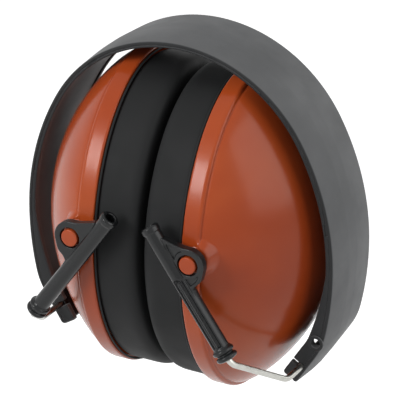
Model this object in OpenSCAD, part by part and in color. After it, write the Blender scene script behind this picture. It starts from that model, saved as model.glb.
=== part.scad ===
// Folding earmuff hearing protector, shown folded: both cups swung up inside the headband.
// +Z is up through the crown, X runs from cup to cup and -Y is the front.
// The cups stand on the flats at the bottom of their rims, at z = 0.

/* [Cups] */
// Height of a cup over its rim
cup_h = 113; // [103:0.5:124]
// Width of a cup over its rim, front to back
cup_w = 84; // [77:0.5:92]
// Depth of a cup shell from rim face to crown
cup_depth = 34.2; // [31:0.1:37.5]
// Depth of the straight rim band
rim_depth = 6; // [4:0.1:8]
// Width of the step between rim band and dome
rim_step = 1.4; // [0.6:0.1:2]
// Fullness of the dome beside the rim: 2 is an ellipse
dome_power = 1.2; // [1.1:0.05:2]
// Wall of a cup shell
shell_wall = 2.2; // [1.6:0.1:3]
// Depth cut off the bottom of a rim to make its foot
foot_cut = 0.7; // [0.3:0.05:1.2]

/* [Ear cushions] */
// Thickness of an ear cushion
cushion_t = 16; // [12:0.5:20]
// Height of the ear opening
opening_h = 66; // [58:0.5:74]
// How far the cushion stands inside the rim's outline
cushion_inset = 1; // [0.6:0.1:4]
// Wall of the cushion's cover
cover_t = 1.2; // [0.8:0.1:2]
// Thickness of the seal plate behind the cushion
plate_t = 2.2; // [1.6:0.1:3]
// Depth of the seal plate's skirt
skirt_depth = 5; // [3:0.1:7]
// Wall of the seal plate's skirt
skirt_t = 1.5; // [1:0.1:2.5]
// Depth from the rim face to the damping foam
cavity_depth = 14; // [10:0.5:18]

/* [Headband] */
// Width of the headband, front to back
band_w = 28.7; // [26:0.1:34]
// Thickness of the headband's outer skin
skin_t = 1.2; // [1:0.05:1.6]
// Thickness of the two rails along the headband's edges
rail_t = 2.2; // [1.6:0.1:3]
// Depth of the rails at the crown
rail_crown = 2.7; // [2.6:0.1:4]
// Depth of the rails beside the cups
rail_side = 3.4; // [3:0.1:5]
// Depth of the rails at the hinge ends
rail_tip = 6.5; // [6:0.1:8]
// Drop of the outer skin from its middle facet to its edges
facet_drop = 0.45; // [0.2:0.05:0.8]
// Width of the middle facet
facet_w = 6; // [4:0.5:10]
// Radius of the sides below the cups' middle
side_r = 110; // [90:1:130]
// Radius of the bend above the hinge ends
bend_r = 25; // [20:1:32]
// Length of the straight hinge ends
tip_len = 13.5; // [12:0.5:16]
// Gap between the top of the cups and the rails at the crown
crown_gap = 7.3; // [6:0.1:12]
// Gap between a cup's dome and the rails
side_gap = 4.1; // [3:0.1:6]
// Gap between a cup's dome and its hinge retainer
end_gap = 5.5; // [4:0.1:7]
// Thickness of the liner strip
liner_t = 0.8; // [0.6:0.05:1]
// Bore of the accessory eyelets
eyelet_d = 3.4; // [2.5:0.1:3.6]

/* [Wire forks] */
// Diameter of the spring wire
wire_d = 2.1; // [1.8:0.05:2.4]
// Inner radius of the bends in the wire, to its middle
wire_bend = 4.2; // [3:0.1:5]
// Distance between the two corners of the crossbar
crossbar_w = 49; // [44:1:62]
// Hinge axis from the end of the headband
hinge_up = 7; // [5.5:0.1:8]
// Hinge axis in from the outer skin
hinge_in = 2.7; // [2.5:0.05:3]
// Length of a hinge retainer above the hinge axis
retainer_up = 6; // [5:0.1:8]
// Wall of a hinge retainer under the wire
retainer_lip = 0.7; // [0.5:0.05:1.2]

/* [Sliders] */
// Length of a slider's tube
slider_len = 50; // [44:0.5:54]
// Diameter of a slider's tube
slider_d = 5.6; // [5:0.1:6]
// Pivot hole from the top end of the tube
pivot_down = 16.7; // [14:0.1:20]
// Pivot hole beside the wire's axis
pivot_off = 6.15; // [5.8:0.05:7]
// Outer radius of the lug
lug_r = 5.3; // [4.6:0.1:5.6]
// Thickness of the lug
lug_t = 2.9; // [2.4:0.1:3.4]
// Lug's foot below its pivot hole, along the tube
lug_low = 12.5; // [10:0.1:15]
// Lug's foot above its pivot hole, along the tube
lug_high = 11; // [9:0.1:13]
// Diameter of the studs on the cups
stud_d = 5.8; // [5:0.1:6.2]
// Pivot stud from the rim face
stud_in = 5.35; // [5:0.05:7]
// Pivot stud above the cup's middle
stud_up = 5.8; // [4:0.1:10]
// Height of the pads under the studs
pad_h = 0.6; // [0.4:0.1:1.4]
// Radius of the pads under the studs
pad_r = 8.8; // [8:0.1:11]

/* [Fits] */
// Running clearance round a wire or a stud, on the radius
run_gap = 0.08; // [0.04:0.01:0.1]
// Clearance between pieces that sit still against each other
seat_gap = 0.1; // [0.05:0.01:0.2]
// Clearance round soft pieces and between moving neighbours
free_gap = 0.3; // [0.2:0.05:0.4]

/* [Hidden] */
$fn = 64;

orange = [0.64, 0.29, 0.16];
charcoal = [0.22, 0.23, 0.23];
gloss_black = [0.06, 0.06, 0.06];
soft_black = [0.14, 0.14, 0.14];
foam_grey = [0.35, 0.35, 0.36];
steel = [0.73, 0.73, 0.71];

// Cup: local r is half the height, squeezed to half the width across
cup_r = cup_h / 2;
squeeze = cup_w / cup_h;
cup_z = cup_r - foot_cut;
face_gap = free_gap / 2;
rim_x = face_gap + cushion_t + face_gap;
dome_r = cup_r - rim_step;
dome_start = rim_depth + 0.5 * rim_step;
dome_steps = 14;
// Inner faces of the shell run deeper across than along, for an even wall
inner_inset = shell_wall + 0.6;
mouth_r = dome_r - shell_wall + 0.8;
rim_edge = 0.6;
step_edge = 0.4;

// Headband: arcs from the crown down the right side
crown_a = 60;
shoulder_a = 90 - crown_a;
side_a = 12;
bend_a = 20;
tip_a = side_a + bend_a;
half_span = rim_x + cup_depth + side_gap + rail_side;
apex_z = cup_z + cup_r + crown_gap + rail_crown;
// The straight end lies so far from the dome that the hinge retainer clears it
dome_reach = max([for (p = dome_points(dome_start)) [rim_x + p[1], p[0] - cup_z] * [cos(tip_a), sin(tip_a)]]);
skin_reach = dome_reach + end_gap + retainer_lip + wire_d / 2 + hinge_in;
tip_x = half_span - side_r * (1 - cos(side_a)) - bend_r * (cos(side_a) - cos(tip_a));
tip_z = (tip_x * cos(tip_a) - skin_reach) / sin(tip_a);
side_z = tip_z + side_r * sin(side_a) + bend_r * (sin(tip_a) - sin(side_a));
// Shoulder and crown meet smoothly at the angle of the crown
crown_sin = sin(crown_a);
crown_drop = 1 - cos(crown_a);
shoulder_r = (apex_z - side_z - crown_drop * half_span / crown_sin)
    / (1 - crown_drop - crown_drop * (1 - crown_sin) / crown_sin);
crown_r = (half_span - shoulder_r * (1 - crown_sin)) / crown_sin;
crown_c = [0, apex_z - crown_r];
shoulder_c = crown_c + (crown_r - shoulder_r) * [cos(shoulder_a), sin(shoulder_a)];
side_c = shoulder_c + (shoulder_r - side_r) * [1, 0];
bend_c = side_c + (side_r - bend_r) * [cos(side_a), -sin(side_a)];
out_dir = [cos(tip_a), -sin(tip_a)];
down_dir = [-sin(tip_a), -cos(tip_a)];
tip_start = bend_c + bend_r * out_dir;
tip_end = tip_start + tip_len * down_dir;
// [centre, radius, start angle, sweep]
ARCS = [
    [crown_c, crown_r, 90, -crown_a],
    [shoulder_c, shoulder_r, shoulder_a, -shoulder_a],
    [side_c, side_r, 0, -side_a],
    [bend_c, bend_r, -side_a, -bend_a]
];
// Rail depth at both ends of each arc
RAILS = [
    [rail_crown, (rail_crown + rail_side) / 2],
    [(rail_crown + rail_side) / 2, rail_side],
    [rail_side, 0.93 * rail_tip],
    [0.93 * rail_tip, rail_tip]
];
// Stations along each arc
STEPS = [15, 7, 4, 6];
clip_w = 4;
// Clips of the liner: [arc number, angle]
CLIPS = [[0, 51.6], [1, 10.8]];
channel_w = band_w - 2 * rail_t;
liner_top = skin_t + facet_drop + seat_gap;
eyelet_angle = -19.4;
eyelet_in = 3;
eyelet_ring = 1.1;
eyelet_lift = 0.5;
groove_d = 0.35;
groove_in = 1.15;
edge_cut = 0.5;

// Hinge and fork
hinge_x = (tip_end - hinge_up * down_dir - hinge_in * out_dir)[0];
hinge_z = (tip_end - hinge_up * down_dir - hinge_in * out_dir)[1];
stud_x = rim_x + stud_in;
stud_z = cup_z + stud_up;
reach = norm([hinge_x - stud_x, stud_z - hinge_z]);
pivot_s = sqrt(reach * reach - pivot_off * pivot_off);
arm_a = atan2(stud_z - hinge_z, hinge_x - stud_x) - asin(pivot_off / reach);
pad_y = cup_w / 2 + pad_h;
slider_y = pad_y + 2 * free_gap + slider_d / 2;
// Hub under a stud, clear of the slider's tube
tube_reach = sqrt(pow(slider_d / 2, 2) - pow(lug_t / 2 + free_gap, 2));
hub_r = pivot_off - tube_reach - free_gap;
slider_s = pivot_s + pivot_down - slider_len;
wire_r = wire_d / 2;
splay_gap = 1.6;
splay_s = slider_s - splay_gap;
wire_end = pivot_s + 6;
throat = 0.85;
retainer_len = hinge_up + retainer_up;
retainer_in = 0.6;
retainer_w = channel_w - 2 * seat_gap;
liner_end_gap = 0.3;

// Puts a revolved form with its axis along X on the right cup's rim face
module on_cup() {
    translate([rim_x, 0, cup_z])
        rotate([0, 90, 0])
            for (a = [0, 180])
                scale([1, squeeze, 1])
                    rotate([0, 0, a])
                        rotate_extrude(angle = 180, $fn = 96) children();
}

// Turns the right side round to the left
module to_left() {
    rotate([0, 0, 180]) children();
}

// Radius of the dome at a depth h, drawn in by an inset
function dome_at(h, inset = 0) =
    let (u = max(0, h - dome_start) / (cup_depth - inset - dome_start))
        (dome_r - inset) * sqrt(1 - pow(min(1, u), dome_power));

// Points down the dome from its crown to depth h0, straight below the dome's start
function dome_points(h0, inset = 0) =
    let (foot = max(h0, dome_start))
        concat(
            [
                for (i = [0:dome_steps])
                    let (h = foot + (cup_depth - inset - foot) * cos(90 * i / dome_steps))
                        [dome_at(h, inset), h]
            ],
            h0 < foot ? [[dome_r - inset, h0]] : []
        );

// Points of a list from the last to the first
function turned(list) = [for (i = [len(list) - 1:-1:0]) list[i]];

// A rectangle with its corners rounded, as points: r across, h up
function round_box(r0, r1, h0, h1, rad, n = 6) = [
    for (c = [[r1 - rad, h1 - rad, 0], [r0 + rad, h1 - rad, 90],
              [r0 + rad, h0 + rad, 180], [r1 - rad, h0 + rad, 270]])
        for (i = [0:n])
            [c[0], c[1]] + rad * [cos(c[2] + 90 * i / n), sin(c[2] + 90 * i / n)]
];

// Stations down the right half: [point on the skin, outward direction, rail depth]
function arc_stations(k, first) = [
    for (i = [first:STEPS[k]])
        let (arc = ARCS[k], t = i / STEPS[k], a = arc[2] + arc[3] * t, out = [cos(a), sin(a)])
            [arc[0] + arc[1] * out, out, RAILS[k][0] + (RAILS[k][1] - RAILS[k][0]) * t]
];

function right_stations(tip) = [
    each arc_stations(0, 0), each arc_stations(1, 1), each arc_stations(2, 1), each arc_stations(3, 1),
    [tip_start + tip * down_dir, out_dir, rail_tip]
];

// The same stations from the right tip over the crown to the left tip
function stations(tip) =
    let (r = right_stations(tip), last = len(r) - 1)
        concat(
            turned(r),
            [for (i = [1:last]) [[-r[i][0][0], r[i][0][1]], [-r[i][1][0], r[i][1][1]], r[i][2]]]
        );

// Closed skin through rings of as many points each
module loft(rings) {
    n = len(rings[0]);
    m = len(rings);
    polyhedron(
        points = [for (ring = rings) each ring],
        faces = concat(
            [[for (i = [0:n - 1]) i]],
            [
                for (j = [0:m - 2])
                    for (i = [0:n - 1])
                        let (next = (i + 1) % n)
                            [j * n + i, (j + 1) * n + i, (j + 1) * n + next, j * n + next]
            ],
            [[for (i = [n - 1:-1:0]) (m - 1) * n + i]]
        )
    );
}

module both_halves() {
    children();
    mirror([1, 0, 0]) children();
}

// Half of the channel's section: faceted skin, rounded edge, groove and rail of depth d
function channel_half(d) = [
    [0, facet_w / 2],
    [-facet_drop, band_w / 2 - edge_cut],
    [-facet_drop - 0.3 * edge_cut, band_w / 2 - 0.3 * edge_cut],
    [-facet_drop - edge_cut, band_w / 2],
    [-facet_drop - groove_in, band_w / 2],
    [-facet_drop - groove_in - groove_d / 2, band_w / 2 - groove_d],
    [-facet_drop - groove_in - groove_d, band_w / 2],
    [-d, band_w / 2],
    [-d, channel_w / 2],
    [-facet_drop - skin_t, channel_w / 2]
];

function both_edges(half) =
    concat(half, [for (q = turned(half)) [q[0], -q[1]]]);

function on_station(st, section) = [
    for (q = section) [st[0][0] + q[0] * st[1][0], q[1], st[0][1] + q[0] * st[1][1]]
];

// Something placed on an arc: x out from the skin, y along the band, z across
module on_arc(k, a) {
    arc = ARCS[k];
    translate([arc[0][0], 0, arc[0][1]])
        rotate([90, 0, 0])
            rotate([0, 0, a])
                translate([arc[1], 0, 0]) children();
}

// Something placed on the hinge axis: x out from the skin, y up the band
module on_hinge() {
    translate([hinge_x, 0, hinge_z])
        rotate([90, 0, 0])
            rotate([0, 0, -tip_a]) children();
}

module clip_windows() {
    for (clip = CLIPS)
        on_arc(clip[0], clip[1])
            translate([-liner_top - liner_t - seat_gap, -clip_w / 2 - seat_gap, -band_w])
                cube([liner_t + 2 * seat_gap, clip_w + 2 * seat_gap, 2 * band_w]);
}

// The two eyelets: right end in front, left end at the rear
module at_eyelets() {
    for (turn = [0, 180])
        rotate([0, 0, turn])
            on_arc(3, eyelet_angle)
                translate([-eyelet_in, 0, 0]) children();
}

module headband() {
    wire_hole = wire_r + run_gap;
    color(charcoal)
        difference() {
            union() {
                loft([for (st = stations(tip_len)) on_station(st, both_edges(channel_half(st[2])))]);
                at_eyelets()
                    translate([0, 0, channel_w / 2])
                        cylinder(d = eyelet_d + 2 * eyelet_ring, h = rail_t + eyelet_lift);
            }
            at_eyelets()
                translate([0, 0, channel_w / 2 - seat_gap])
                    cylinder(d = eyelet_d, h = rail_t + eyelet_lift + 2 * seat_gap);
            both_halves() {
                clip_windows();
                on_hinge() {
                    cylinder(r = wire_hole, h = 2 * band_w, center = true);
                    translate([-rail_tip, -throat * wire_hole, -band_w])
                        cube([rail_tip, 2 * throat * wire_hole, 2 * band_w]);
                }
            }
        }
}

module headband_liner() {
    half_w = channel_w / 2 - seat_gap;
    strip = [
        [-liner_top, half_w], [-liner_top - liner_t, half_w],
        [-liner_top - liner_t, -half_w], [-liner_top, -half_w]
    ];
    color(gloss_black)
        union() {
            loft([for (st = stations(tip_len - retainer_len - liner_end_gap)) on_station(st, strip)]);
            both_halves()
                for (clip = CLIPS)
                    on_arc(clip[0], clip[1])
                        translate([-liner_top - liner_t, -clip_w / 2, -band_w / 2 + groove_d])
                            cube([liner_t, clip_w, band_w - 2 * groove_d]);
        }
}

// Block clipped over the crossbar and pushed into the end of the channel
module hinge_retainer() {
    wire_hole = wire_r + run_gap;
    back = hinge_in - liner_top;
    color(gloss_black)
        on_hinge()
            difference() {
                translate([-wire_r - retainer_lip, -hinge_up + retainer_in, -retainer_w / 2])
                    cube([back + wire_r + retainer_lip, retainer_len - retainer_in, retainer_w]);
                cylinder(r = wire_hole, h = 2 * band_w, center = true);
                translate([0, -throat * wire_hole, -band_w])
                    cube([band_w, 2 * throat * wire_hole, 2 * band_w]);
            }
}

// Middle line of one shoulder of the fork, from the crossbar out to the arm: x up the arm, y across
shoulder_a0 = atan2(slider_y - crossbar_w / 2, splay_s);
function bend_points(corner, a0, a1, n = 8) =
    let (
        turn = a1 - a0,
        trim = wire_bend * tan(abs(turn) / 2),
        start = corner - trim * [cos(a0), sin(a0)],
        center = start + sign(turn) * wire_bend * [-sin(a0), cos(a0)]
    )
        [for (i = [0:n])
            let (a = a0 + turn * i / n)
                [center - sign(turn) * wire_bend * [-sin(a), cos(a)], a]];

function shoulder_line() =
    let (
        low = bend_points([0, crossbar_w / 2], 90, shoulder_a0),
        high = bend_points([splay_s, slider_y], shoulder_a0, 0),
        last = len(high) - 1
    )
        concat(
            [[low[0][0] - [0, 1], 90]],
            low, high,
            [[high[last][0] + [1, 0], 0]]
        );

module fork_shoulder() {
    r = wire_r * 0.985;
    sides = 24;
    loft([
        for (q = shoulder_line())
            [for (i = [0:sides - 1])
                let (a = 360 * i / sides)
                    [
                        q[0][0] - r * cos(a) * sin(q[1]),
                        q[0][1] + r * cos(a) * cos(q[1]),
                        r * sin(a)
                    ]]
    ]);
}

module wire_fork() {
    low_y = bend_points([0, crossbar_w / 2], 90, shoulder_a0)[0][0][1];
    high = bend_points([splay_s, slider_y], shoulder_a0, 0);
    high_x = high[len(high) - 1][0][0];
    color(steel)
        translate([hinge_x, 0, hinge_z])
            rotate([0, 180 + arm_a, 0]) {
                rotate([90, 0, 0]) cylinder(r = wire_r, h = 2 * low_y, center = true, $fn = 32);
                for (s = [0, 1])
                    mirror([0, s, 0]) {
                        fork_shoulder();
                        translate([high_x, slider_y, 0])
                            rotate([0, 90, 0]) cylinder(r = wire_r, h = wire_end - high_x, $fn = 32);
                    }
            }
}

// Angle at which a line from point p touches a circle round c, on one side of it
function touch_angle(p, c, r, side) =
    atan2(p[1] - c[1], p[0] - c[0]) + side * acos(r / norm(c - p));

// Flank of the lug runs in by this much for each millimetre of inset
lug_slope = 2.2;

module lug_outline(inset = 0, steps = 30) {
    hub = [pivot_s, pivot_off];
    low = [pivot_s - lug_low + lug_slope * inset, inset];
    high = [pivot_s + lug_high - lug_slope * inset, inset];
    r = lug_r - inset;
    a0 = touch_angle(high, hub, r, 1);
    a1 = touch_angle(low, hub, r, -1) + 360;
    polygon(concat(
        [low, high],
        [for (i = [0:steps]) let (a = a0 + (a1 - a0) * i / steps) hub + r * [cos(a), sin(a)]]
    ));
}

// Tube's outline: [radius, height], with two rolled rings at its foot
bead_r = 0.9;
bead_heights = [1.1, 3.4];
bead_sunk = 0.3;
tube_edge = 0.5;

module tube_profile(r) {
    polygon(concat(
        [[0, 0], [r - tube_edge, 0]],
        [
            for (h = bead_heights)
                for (i = [0:8])
                    let (a = -90 + 180 * i / 8)
                        [r - bead_sunk + bead_r * cos(a), h + bead_r * sin(a)]
        ],
        [
            [r, bead_heights[1] + bead_r + bead_sunk], [r, slider_len - tube_edge],
            [r - tube_edge, slider_len], [0, slider_len]
        ]
    ));
}

// Hollows of the slider: mouth at the top end, pocket in the lug, groove along the tube
mouth_wall = 1.1;
mouth_depth = 5;
pocket_wall = 1.1;
pocket_depth = 0.75;
groove_w = 1.8;
groove_cut = 1.1;
groove_low = 5.5;
groove_high = 2.5;

// One moulding, used in all four places: x up the wire, y outboard
module slider_moulding() {
    tube_r = slider_d / 2;
    color(gloss_black)
        difference() {
            union() {
                translate([slider_s, 0, 0])
                    rotate([0, 90, 0]) rotate_extrude($fn = 48) tube_profile(tube_r);
                translate([0, 0, -lug_t / 2]) linear_extrude(lug_t) lug_outline();
            }
            translate([slider_s - 1, 0, 0])
                rotate([0, 90, 0]) cylinder(r = wire_r + run_gap, h = slider_len + 2);
            translate([slider_s + slider_len - mouth_depth, 0, 0])
                rotate([0, 90, 0]) cylinder(r = tube_r - mouth_wall, h = mouth_depth + 1);
            // stud hole
            translate([pivot_s, pivot_off, 0])
                cylinder(r = stud_d / 2 + run_gap, h = 2 * lug_t, center = true);
            translate([0, 0, -lug_t])
                linear_extrude(lug_t / 2 + pocket_depth)
                    difference() {
                        lug_outline(pocket_wall);
                        translate([pivot_s, pivot_off]) circle(lug_r - pocket_wall + seat_gap);
                        translate([slider_s, -tube_r]) square([slider_len, 2 * (tube_r + seat_gap)]);
                    }
            translate([slider_s + groove_low, -groove_w / 2, -tube_r - 1])
                cube([slider_len - pivot_down - groove_low - groove_high, groove_w, groove_cut + 1]);
        }
}

module slider_right(y) {
    translate([hinge_x, y, hinge_z])
        rotate([0, 180 + arm_a, 0])
            rotate([-90, 0, 0])
                slider_moulding();
}

module shell_outside() {
    on_cup()
        polygon(concat(
            [
                [0, 0], [cup_r - rim_edge, 0], [cup_r, rim_edge],
                [cup_r, rim_depth - step_edge], [cup_r - step_edge, rim_depth]
            ],
            turned(dome_points(dome_start))
        ));
}

module shell_inside() {
    ledge = plate_t + free_gap + seat_gap;
    on_cup()
        polygon(concat(
            [[0, -1], [mouth_r, -1], [mouth_r, ledge]],
            turned(dome_points(ledge, inner_inset))
        ));
}

stud_proud = 0.4;

module pivot_pad(steps = 24) {
    to_rim = stud_in - rim_edge;
    translate([stud_x, 0, stud_z])
        rotate([90, 0, 0]) {
            linear_extrude(pad_y)
                polygon(concat(
                    [[-to_rim, -pad_r]],
                    [for (i = [0:steps]) let (a = -90 + 180 * i / steps) pad_r * [cos(a), sin(a)]],
                    [[-to_rim, pad_r]]
                ));
            cylinder(r = hub_r, h = slider_y - lug_t / 2 - free_gap);
            cylinder(d = stud_d, h = slider_y + lug_t / 2 + stud_proud);
        }
}

module cup_shell() {
    color(orange)
        difference() {
            union() {
                shell_outside();
                pivot_pad();
                mirror([0, 1, 0]) pivot_pad();
            }
            shell_inside();
            translate([0, -cup_w, -2 * cup_r]) cube([4 * cup_depth, 2 * cup_w, 2 * cup_r]);
        }
}

module seal_plate() {
    edge = mouth_r - seat_gap / squeeze;
    skirt = dome_at(plate_t + skirt_depth, inner_inset) - free_gap / squeeze;
    color(gloss_black)
        on_cup()
            polygon([
                [opening_h / 2, free_gap],
                [edge, free_gap],
                [edge, free_gap + plate_t],
                [skirt, free_gap + plate_t],
                [skirt, plate_t + skirt_depth],
                [skirt - skirt_t, plate_t + skirt_depth],
                [skirt - skirt_t, free_gap + plate_t],
                [opening_h / 2, free_gap + plate_t]
            ]);
}

cushion_out = cup_r - cushion_inset;
cushion_round = 5;

module cushion_section(inset) {
    polygon(round_box(
        opening_h / 2 + inset, cushion_out - inset,
        -cushion_t + inset, -inset + (inset > 0 ? 2 * cushion_round : 0),
        cushion_round - inset
    ));
}

module ear_cushion() {
    color(soft_black)
        translate([-face_gap, 0, 0])
            on_cup()
                difference() {
                    cushion_section(0);
                    cushion_section(cover_t);
                }
}

module cushion_foam() {
    inset = cover_t + free_gap;
    color(foam_grey)
        translate([-face_gap, 0, 0])
            on_cup()
                intersection() {
                    cushion_section(inset);
                    translate([0, -cushion_t]) square([cup_h, cushion_t]);
                }
}

foam_dish = 2;

module damping_foam() {
    inset = inner_inset + free_gap;
    color(foam_grey)
        on_cup()
            polygon(concat(
                [
                    [0, cavity_depth + 2 * foam_dish], [opening_h / 4, cavity_depth + foam_dish],
                    [opening_h / 2, cavity_depth]
                ],
                turned(dome_points(cavity_depth, inset))
            ));
}

headband();
headband_liner();
to_left() hinge_retainer();  // hinge_retainer_left
hinge_retainer();  // hinge_retainer_right
to_left() wire_fork();  // wire_fork_left
wire_fork();  // wire_fork_right
to_left() slider_right(slider_y);  // slider_front_left
to_left() slider_right(-slider_y);  // slider_rear_left
slider_right(-slider_y);  // slider_front_right
slider_right(slider_y);  // slider_rear_right
to_left() cup_shell();  // cup_shell_left
cup_shell();  // cup_shell_right
to_left() seal_plate();  // seal_plate_left
seal_plate();  // seal_plate_right
to_left() ear_cushion();  // ear_cushion_left
ear_cushion();  // ear_cushion_right
to_left() cushion_foam();  // cushion_foam_left
cushion_foam();  // cushion_foam_right
to_left() damping_foam();  // damping_foam_left
damping_foam();  // damping_foam_right
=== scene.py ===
import math

import bmesh
import bpy
from mathutils import Matrix, Vector, noise


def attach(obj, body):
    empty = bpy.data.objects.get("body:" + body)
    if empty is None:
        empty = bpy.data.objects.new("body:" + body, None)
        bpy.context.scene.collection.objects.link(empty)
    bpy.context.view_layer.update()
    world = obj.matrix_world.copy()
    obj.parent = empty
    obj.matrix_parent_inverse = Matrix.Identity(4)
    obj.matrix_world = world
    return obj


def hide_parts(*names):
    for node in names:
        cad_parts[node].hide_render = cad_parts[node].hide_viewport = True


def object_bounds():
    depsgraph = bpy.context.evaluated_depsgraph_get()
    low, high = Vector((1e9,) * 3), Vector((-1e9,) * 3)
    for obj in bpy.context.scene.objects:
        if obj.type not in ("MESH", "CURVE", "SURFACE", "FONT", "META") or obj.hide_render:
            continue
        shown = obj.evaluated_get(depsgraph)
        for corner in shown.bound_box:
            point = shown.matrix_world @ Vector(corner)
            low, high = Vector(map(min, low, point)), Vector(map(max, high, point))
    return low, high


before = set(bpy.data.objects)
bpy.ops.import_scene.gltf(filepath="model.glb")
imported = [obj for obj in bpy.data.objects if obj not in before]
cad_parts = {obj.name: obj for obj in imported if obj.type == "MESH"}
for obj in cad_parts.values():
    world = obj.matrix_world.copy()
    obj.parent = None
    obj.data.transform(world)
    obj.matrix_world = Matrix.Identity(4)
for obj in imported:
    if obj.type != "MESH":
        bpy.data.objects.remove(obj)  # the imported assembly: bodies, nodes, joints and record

lowCorner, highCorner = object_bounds()
mm = 0.001
print("earmuff: frame loaded, box in mm", [round(v / mm, 1) for v in highCorner - lowCorner])


# small helpers for shaders

def hexColour(text):
    # sRGB hex to the linear numbers that a shader takes
    parts = [int(text[i:i + 2], 16) / 255 for i in (1, 3, 5)]
    return tuple(c / 12.92 if c <= 0.04045 else ((c + 0.055) / 1.055) ** 2.4 for c in parts) + (1.0,)


def setNode(tree, node, settings, links):
    # settings, socket values and incoming links of a node; a number names a socket by its place
    for key, value in settings.items():
        if isinstance(key, int) or key in node.inputs:
            node.inputs[key].default_value = value
        else:
            setattr(node, key, value)
    for key, source in links.items():
        tree.links.new(source, node.inputs[key])
    return node


def addNode(tree, kind, settings={}, links={}):
    return setNode(tree, tree.nodes.new(kind), settings, links)


def perFeature(size):
    # texture scale, per metre, for a feature this many millimetres wide
    return 1 / (size * mm)


def newMaterial(name):
    material = bpy.data.materials.new(name)
    material.use_nodes = True
    tree = material.node_tree
    shader = tree.nodes["Principled BSDF"]
    return material, tree, shader


# materials

cupFinish = {
    "colour": "#A2421B",       # rust orange in the mould's even parts
    "paler": "#AA4B22",        # where the pigment flows thinner
    "darker": "#9A3C17",
    "cloudSize": 38,           # mm, width of the flow clouds
    "smudgeSize": 7,           # mm, width of the handling smudges in the gloss
    "orangePeel": 1.6,         # mm, drawn coarser than the real 0.8 so that it shows
    "peelDepth": 0.05,         # mm
    "roughness": (0.19, 0.27),
}


def mouldedAbs():
    # injection-moulded ABS: a glossy, slightly wavy skin with faint flow clouds in the pigment
    material, tree, shader = newMaterial("orangeMouldedAbs")
    spot = addNode(tree, "ShaderNodeTexCoord").outputs["Object"]
    clouds = addNode(tree, "ShaderNodeTexNoise", {"Scale": perFeature(cupFinish["cloudSize"]), "Detail": 3.0},
                     {"Vector": spot})
    tint = addNode(tree, "ShaderNodeValToRGB", {}, {"Fac": clouds.outputs["Fac"]})
    ramp = tint.color_ramp
    ramp.elements[0].position, ramp.elements[0].color = 0.32, hexColour(cupFinish["darker"])
    ramp.elements[1].position, ramp.elements[1].color = 0.7, hexColour(cupFinish["paler"])
    ramp.elements.new(0.5).color = hexColour(cupFinish["colour"])
    smudges = addNode(tree, "ShaderNodeTexNoise",
                      {"Scale": perFeature(cupFinish["smudgeSize"]), "Detail": 5.0, "Roughness": 0.62},
                      {"Vector": spot})
    low, high = cupFinish["roughness"]
    rough = addNode(tree, "ShaderNodeMapRange", {"From Min": 0.3, "From Max": 0.7, "To Min": low, "To Max": high},
                    {"Value": smudges.outputs["Fac"]})
    peel = addNode(tree, "ShaderNodeTexNoise", {"Scale": perFeature(cupFinish["orangePeel"]), "Detail": 2.0},
                   {"Vector": spot})
    bump = addNode(tree, "ShaderNodeBump", {"Strength": 0.10, "Distance": cupFinish["peelDepth"] * mm},
                   {"Height": peel.outputs["Fac"]})
    setNode(tree, shader, {"IOR": 1.52, "Specular IOR Level": 0.22, "Coat Weight": 0.04, "Coat Roughness": 0.12},
            {"Base Color": tint.outputs["Color"], "Roughness": rough.outputs["Result"],
             "Normal": bump.outputs["Normal"]})
    return material


bandFinish = {
    "colour": "#5C5D5E",
    "worn": "#646566",
    "edge": "#232425",         # painted shade on the front and back faces of the rails, where little light falls
    "rubSize": 16,             # mm, width of the paler rubbed patches
    "grain": 0.7,              # mm, spark-eroded mould texture, drawn coarser than the real 0.2
    "grainDepth": 0.06,        # mm
    "roughness": (0.52, 0.64),
}


def texturedNylon():
    # glass-filled nylon from a spark-eroded mould: a dull grey skin with a fine even grain, paler in rubbed patches
    material, tree, shader = newMaterial("charcoalTexturedNylon")
    coords = addNode(tree, "ShaderNodeTexCoord")
    spot = coords.outputs["Object"]
    rubs = addNode(tree, "ShaderNodeTexNoise",
                   {"Scale": perFeature(bandFinish["rubSize"]), "Detail": 5.0, "Roughness": 0.6}, {"Vector": spot})
    tint = addNode(tree, "ShaderNodeValToRGB", {}, {"Fac": rubs.outputs["Fac"]})
    ramp = tint.color_ramp
    ramp.elements[0].position, ramp.elements[0].color = 0.3, hexColour(bandFinish["colour"])
    ramp.elements[1].position, ramp.elements[1].color = 0.9, hexColour(bandFinish["worn"])
    # faces that look along the wearer's nose get a darker tone: painted shade for the little light that falls on
    # them
    facing = addNode(tree, "ShaderNodeSeparateXYZ", {}, {"Vector": coords.outputs["Normal"]})
    sideways = addNode(tree, "ShaderNodeMath", {"operation": "ABSOLUTE"}, {0: facing.outputs["Y"]})
    frontBackShade = addNode(tree, "ShaderNodeMapRange", {"From Min": 0.35, "From Max": 0.85},
                       {"Value": sideways.outputs[0]})
    tone = addNode(tree, "ShaderNodeMix", {"data_type": "RGBA", 7: hexColour(bandFinish["edge"])},
                   {0: frontBackShade.outputs["Result"], 6: tint.outputs["Color"]})
    low, high = bandFinish["roughness"]
    rough = addNode(tree, "ShaderNodeMapRange", {"From Min": 0.35, "From Max": 0.65, "To Min": high, "To Max": low},
                    {"Value": rubs.outputs["Fac"]})
    grain = addNode(tree, "ShaderNodeTexNoise", {"Scale": perFeature(bandFinish["grain"]), "Detail": 3.0},
                    {"Vector": spot})
    bump = addNode(tree, "ShaderNodeBump", {"Strength": 0.25, "Distance": bandFinish["grainDepth"] * mm},
                   {"Height": grain.outputs["Fac"]})
    setNode(tree, shader, {"IOR": 1.5, "Specular IOR Level": 0.22},
            {"Base Color": tone.outputs[2], "Roughness": rough.outputs["Result"], "Normal": bump.outputs["Normal"]})
    return material


blackFinish = {
    "colour": "#131415",
    "paler": "#191B1C",
    "markSize": 6,             # mm, width of the handling marks
    "waveSize": 2.5,           # mm, the faint waves that break up the reflections
    "waveDepth": 0.04,         # mm
    "roughness": (0.2, 0.28),
}


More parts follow.
